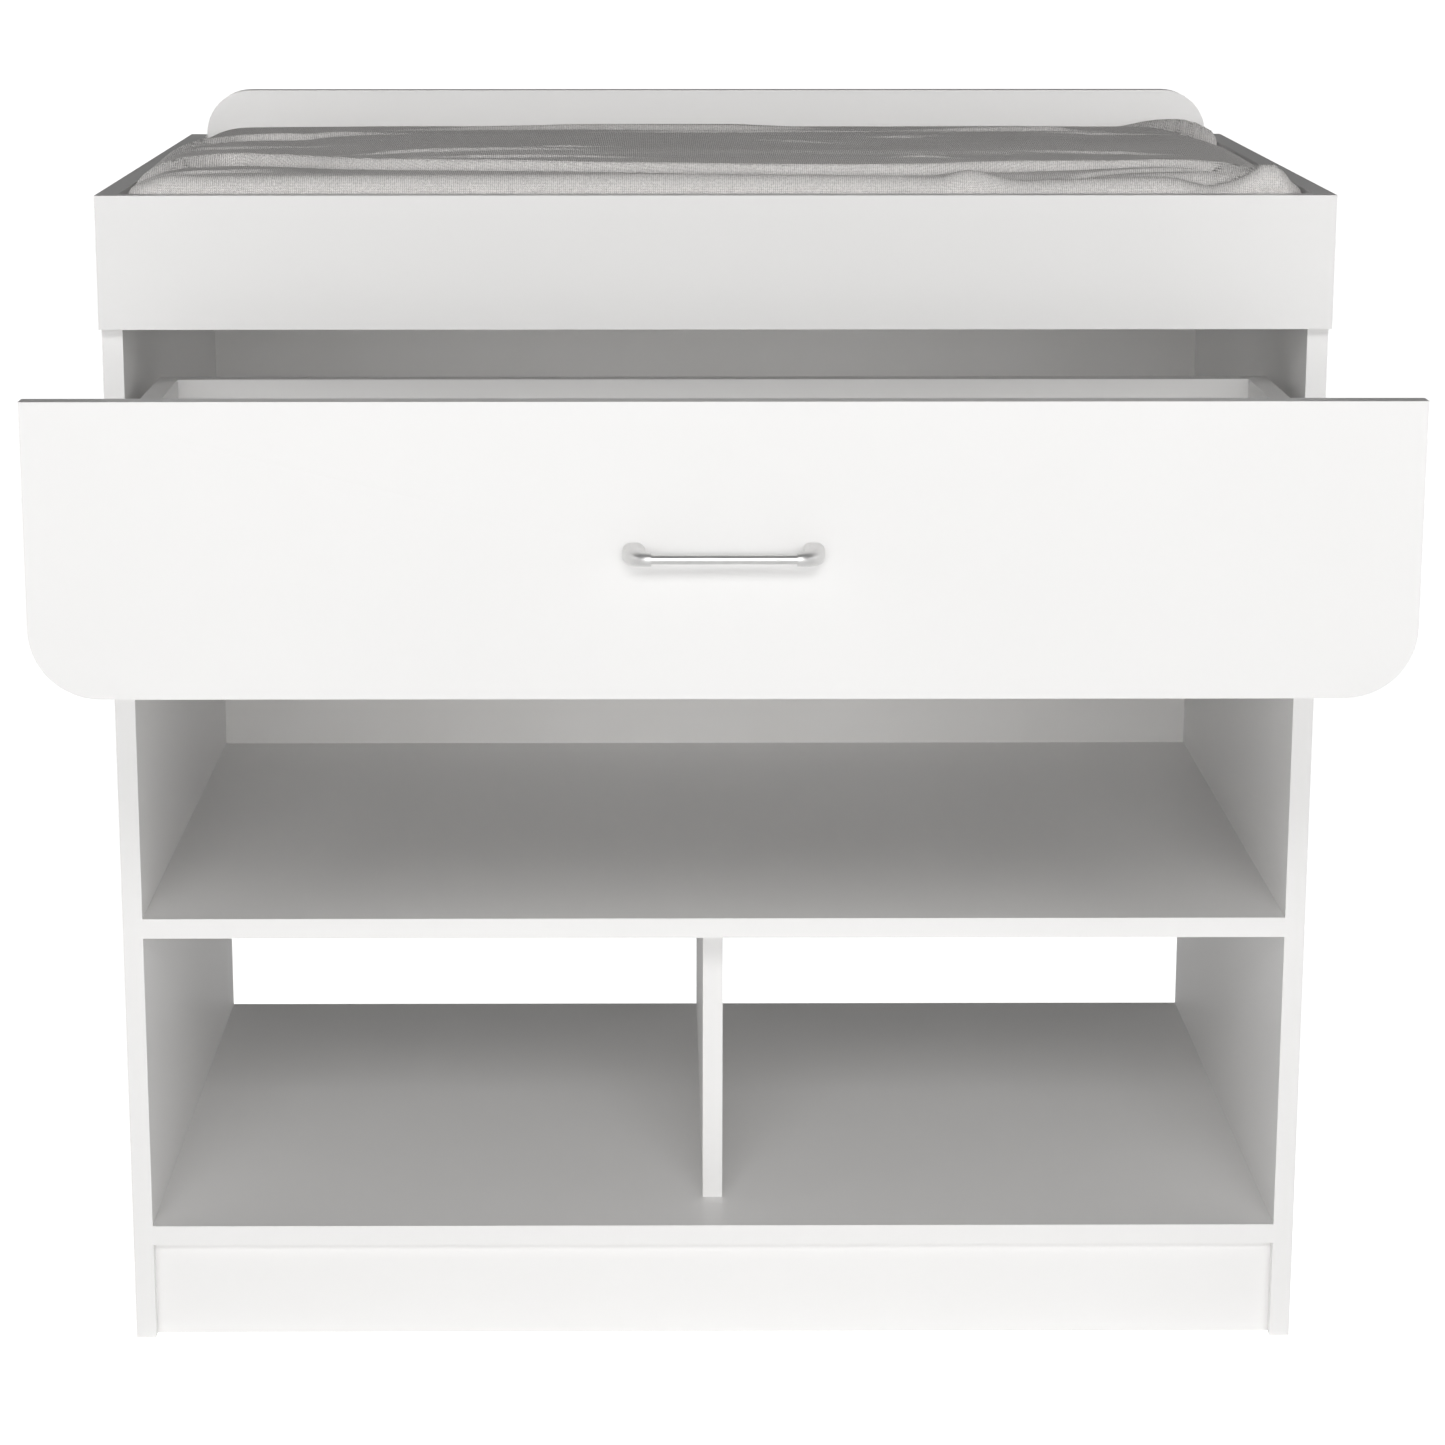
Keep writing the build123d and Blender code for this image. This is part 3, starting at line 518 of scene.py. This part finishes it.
def mat_mesh(name, with_folds, lift=None):
    """The whole closed mat: its top, its seamed sides and its base."""
    tray_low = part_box("changing_pad")[0]
    xs = mat_places(-MAT_HALF, MAT_HALF, LEFT_ROLL, RIGHT_ROLL, COLUMN_PITCH)
    ys = mat_places(MAT_FRONT, MAT_REAR, FRONT_ROLL, REAR_ROLL, ROW_PITCH)
    gx, gy = np.meshgrid(xs, ys)
    gz = mat_top(gx, gy, with_folds)
    if lift is not None:
        gz = gz + lift(gx, gy)
    px, py = rounded_plan(gx, gy)
    wall_top = side_high.z
    top = np.stack([px * MM, front_y + py * MM, wall_top + gz * MM], axis=-1)
    rows, columns = gx.shape
    vertices = top.reshape(-1, 3).tolist()
    faces = []
    for j in range(rows - 1):
        for i in range(columns - 1):
            a = j * columns + i
            faces.append((a, a + 1, a + columns + 1, a + columns))
    rim = ([i for i in range(columns)] + [j * columns + columns - 1 for j in range(1, rows)]
           + [(rows - 1) * columns + i for i in range(columns - 2, -1, -1)]
           + [j * columns for j in range(rows - 2, 0, -1)])
    edge = np.array([vertices[k] for k in rim])
    centre = np.array([0.0, front_y + (MAT_FRONT + MAT_REAR) / 2 * MM])
    # Which way each rim point faces: +1, -1 or nought along X and along Y.
    outward = edge[:, :2] - centre
    outward[:, 0] = np.clip(outward[:, 0] * 1000, -1, 1) * (np.abs(outward[:, 0]) > (MAT_HALF - 3) * MM)
    outward[:, 1] = np.clip(outward[:, 1] * 1000, -1, 1) * (np.abs(outward[:, 1]) > (MAT_REAR / 2 - 5) * MM)
    base = tray_low.z
    # part of the way down, and how far the side is pulled in there
    side = [(0.10, 0.0), (0.22, 0.3), (0.34, 0.5), (0.42, 1.0), (0.46, 2.2), (0.48, 2.2), (0.52, 0.9),
            (0.62, 0.4), (0.76, 0.1), (0.88, 0.8), (0.95, 2.6), (0.985, 5.5), (1.0, 9.0)]
    previous = rim
    for part, inset in side:
        ring = edge.copy()
        ring[:, 2] = edge[:, 2] + (base - edge[:, 2]) * part
        ring[:, :2] -= outward * inset * MM
        start = len(vertices)
        vertices.extend(ring.tolist())
        current = list(range(start, start + len(rim)))
        for k in range(len(rim)):
            n = (k + 1) % len(rim)
            faces.append((previous[n], previous[k], current[k], current[n]))
        previous = current
    ring = np.array([vertices[k] for k in previous])
    for shrink in (0.9, 0.7, 0.4):
        start = len(vertices)
        smaller = ring.copy()
        smaller[:, :2] = centre + (ring[:, :2] - centre) * shrink
        smaller[:, 2] = base
        vertices.extend(smaller.tolist())
        current = list(range(start, start + len(rim)))
        for k in range(len(rim)):
            n = (k + 1) % len(rim)
            faces.append((previous[n], previous[k], current[k], current[n]))
        previous = current
    vertices.append([centre[0], centre[1], base])
    last = len(vertices) - 1
    for k in range(len(rim)):
        faces.append((previous[(k + 1) % len(rim)], previous[k], last))
    mesh = bpy.data.meshes.new(name)
    mesh.from_pydata(vertices, [], faces)
    mesh.validate()
    mesh.update()
    piece = bpy.data.objects.new(name, mesh)
    bpy.context.scene.collection.objects.link(piece)
    return piece


def swelling():
    """Blow a plain copy of the mat up a little as cloth, and say how far its top rises at a place."""
    form = mat_mesh("mat_form", False)
    plain = BVHTree.FromObject(form, bpy.context.evaluated_depsgraph_get())
    remesh = form.modifiers.new("remesh", "REMESH")
    remesh.mode = "VOXEL"
    remesh.voxel_size = 6 * MM
    apply_modifiers(form)
    cloth = form.modifiers.new("cloth", "CLOTH")
    cloth.settings.quality = 5
    cloth.settings.mass = 0.3
    cloth.settings.tension_stiffness = 15
    cloth.settings.compression_stiffness = 15
    cloth.settings.bending_stiffness = 0.5
    cloth.settings.use_pressure = True
    cloth.settings.uniform_pressure_force = 4.0
    cloth.settings.effector_weights.gravity = 0.0
    for step in range(1, SWELLING_FRAMES + 1):
        bpy.context.scene.frame_set(step)
    apply_modifiers(form)
    bpy.context.scene.frame_set(1)
    blown = BVHTree.FromObject(form, bpy.context.evaluated_depsgraph_get())
    bpy.data.objects.remove(form)
    xs = np.arange(-MAT_HALF + LEFT_ROLL, MAT_HALF - RIGHT_ROLL, PROBE_STEP)
    ys = np.arange(MAT_FRONT + FRONT_ROLL, MAT_REAR - REAR_ROLL, PROBE_STEP)
    rise = np.zeros((len(ys), len(xs)))
    for j, y in enumerate(ys):
        for i, x in enumerate(xs):
            above = Vector((x * MM, front_y + y * MM, side_high.z + 0.2))
            low = plain.ray_cast(above, Vector((0, 0, -1)))[0]
            high = blown.ray_cast(above, Vector((0, 0, -1)))[0]
            if low and high:
                rise[j, i] = (high.z - low.z) / MM
    rise = np.clip(rise - np.median(rise), -MOST_SWELLING, MOST_SWELLING) * SWELLING

    def lift(x, y):
        """The measured rise at any place, between the four nearest probes."""
        fx = np.clip((x - xs[0]) / PROBE_STEP, 0, len(xs) - 1.001)
        fy = np.clip((y - ys[0]) / PROBE_STEP, 0, len(ys) - 1.001)
        i, j = fx.astype(int), fy.astype(int)
        tx, ty = fx - i, fy - j
        return ((rise[j, i] * (1 - tx) + rise[j, i + 1] * tx) * (1 - ty)
                + (rise[j + 1, i] * (1 - tx) + rise[j + 1, i + 1] * tx) * ty)
    return lift


def apply_modifiers(piece):
    """Replace a piece's mesh with what its modifiers make of it."""
    shape = bpy.data.meshes.new_from_object(piece.evaluated_get(bpy.context.evaluated_depsgraph_get()))
    piece.modifiers.clear()
    piece.data = shape


def make_mat(material):
    """The padded mat that lies in the tray."""
    lift = swelling()
    mat = mat_mesh("changing_mat", True, lift)
    mat.data.materials.append(material)
    mat.data.polygons.foreach_set("use_smooth", [True] * len(mat.data.polygons))
    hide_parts("changing_pad")
    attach(mat, "pad")


# ---------------------------------------------------------------------------
# Stage and light
# ---------------------------------------------------------------------------

FRONT_GLOW = 5.4                        # strengths of the studio's low light
SIDE_GLOW = 2.3
HORIZON = 1.0
OVERHEAD = 0.08
FLOOR_GIVES = 0.32                      # what the floor sends up, and what it shows
FLOOR_SHOWS = 0.98
HIGH_POWER = 71.0
LOW_POWER = 8.5


def make_floor():
    """A pale floor that reads as white, and sends up less light than it shows."""
    s = Shader("floor")
    cloud = s.noise(0.6, 2.0)
    colour = s.ramp(cloud, [(0.3, (0.88, 0.88, 0.88)), (0.7, (0.9, 0.9, 0.9))])
    path = s.add("ShaderNodeLightPath")
    s.constant(Emission_Color=(1.0, 1.0, 1.0, 1.0), Specular_IOR_Level=0.1)
    s.link(s.spread(path.outputs["Is Camera Ray"], FLOOR_GIVES, FLOOR_SHOWS), s.surface, "Emission Strength")
    material = s.finish(colour, s.spread(cloud, 0.8, 0.9))
    mesh = bpy.data.meshes.new("floor")
    reach = 9.0
    z = cad_low.z
    corners = [(-reach, -reach, z), (reach, -reach, z), (reach, reach, z), (-reach, reach, z)]
    mesh.from_pydata(corners, [], [(0, 1, 2, 3)])
    mesh.materials.append(material)
    floor = bpy.data.objects.new("floor", mesh)
    bpy.context.scene.collection.objects.link(floor)


def make_world():
    """A studio that glows low down, mostly in front and a little at the sides, and is dark overhead."""
    world = bpy.data.worlds.new("studio")
    bpy.context.scene.world = world
    world.use_nodes = True
    tree = world.node_tree
    place = tree.nodes.new("ShaderNodeTexCoord")
    split = tree.nodes.new("ShaderNodeSeparateXYZ")
    tree.links.new(place.outputs["Generated"], split.inputs["Vector"])
    x, y, z = (split.outputs[axis] for axis in "XYZ")

    def value(operation, a, b=0.0):
        node = tree.nodes.new("ShaderNodeMath")
        node.operation = operation
        for index, item in enumerate((a, b)):
            if hasattr(item, "is_output"):
                tree.links.new(item, node.inputs[index])
            else:
                node.inputs[index].default_value = item
        return node.outputs["Value"]

    def between(item, low, high):
        node = tree.nodes.new("ShaderNodeMapRange")
        node.interpolation_type = "SMOOTHSTEP"
        tree.links.new(item, node.inputs["Value"])
        node.inputs["From Min"].default_value = low
        node.inputs["From Max"].default_value = high
        return node.outputs["Result"]

    level = value("SQRT", value("ADD", value("MULTIPLY", x, x), value("MULTIPLY", y, y)))
    ahead = value("DIVIDE", value("MULTIPLY", y, -1.0), level)
    aside = value("DIVIDE", value("ABSOLUTE", x), level)
    band = value("MULTIPLY", between(z, 0.03, 0.07), between(z, 0.225, 0.175))
    glow = value("ADD", value("MULTIPLY", between(ahead, 0.80, 0.92), FRONT_GLOW),
                 value("MULTIPLY", between(aside, 0.80, 0.95), SIDE_GLOW))
    horizon = value("MULTIPLY", between(z, 0.07, 0.03), HORIZON)
    total = value("ADD", value("ADD", horizon, value("MULTIPLY", band, glow)), OVERHEAD)
    tree.links.new(total, tree.nodes["Background"].inputs["Strength"])
    tree.nodes["Background"].inputs["Color"].default_value = (1.0, 0.998, 0.995, 1.0)


def area_light(name, location, target, width, height, power):
    data = bpy.data.lights.new(name, "AREA")
    data.shape = "RECTANGLE"
    data.size = width
    data.size_y = height
    data.energy = power
    light = bpy.data.objects.new(name, data)
    bpy.context.scene.collection.objects.link(light)
    light.location = location
    aim = Vector(target) - Vector(location)
    light.rotation_euler = aim.to_track_quat("-Z", "Y").to_euler()


def make_light():
    """Two wide soft lights in front: one high, one at about the table's own height."""
    area_light("high_light", (0.0, front_y - 4.0, 2.7), (0.0, front_y, 2.7), 3.2, 1.0, HIGH_POWER)
    area_light("low_light", (0.0, front_y - 3.2, 0.8), (0.0, front_y, 0.6), 6.0, 0.8, LOW_POWER)
    scene = bpy.context.scene
    scene.view_settings.view_transform = "Standard"
    scene.view_settings.look = "None"


make_camera()
finishes = dress_nodes()
make_mat(finishes["pad_fabric"])
make_floor()
make_world()
make_light()
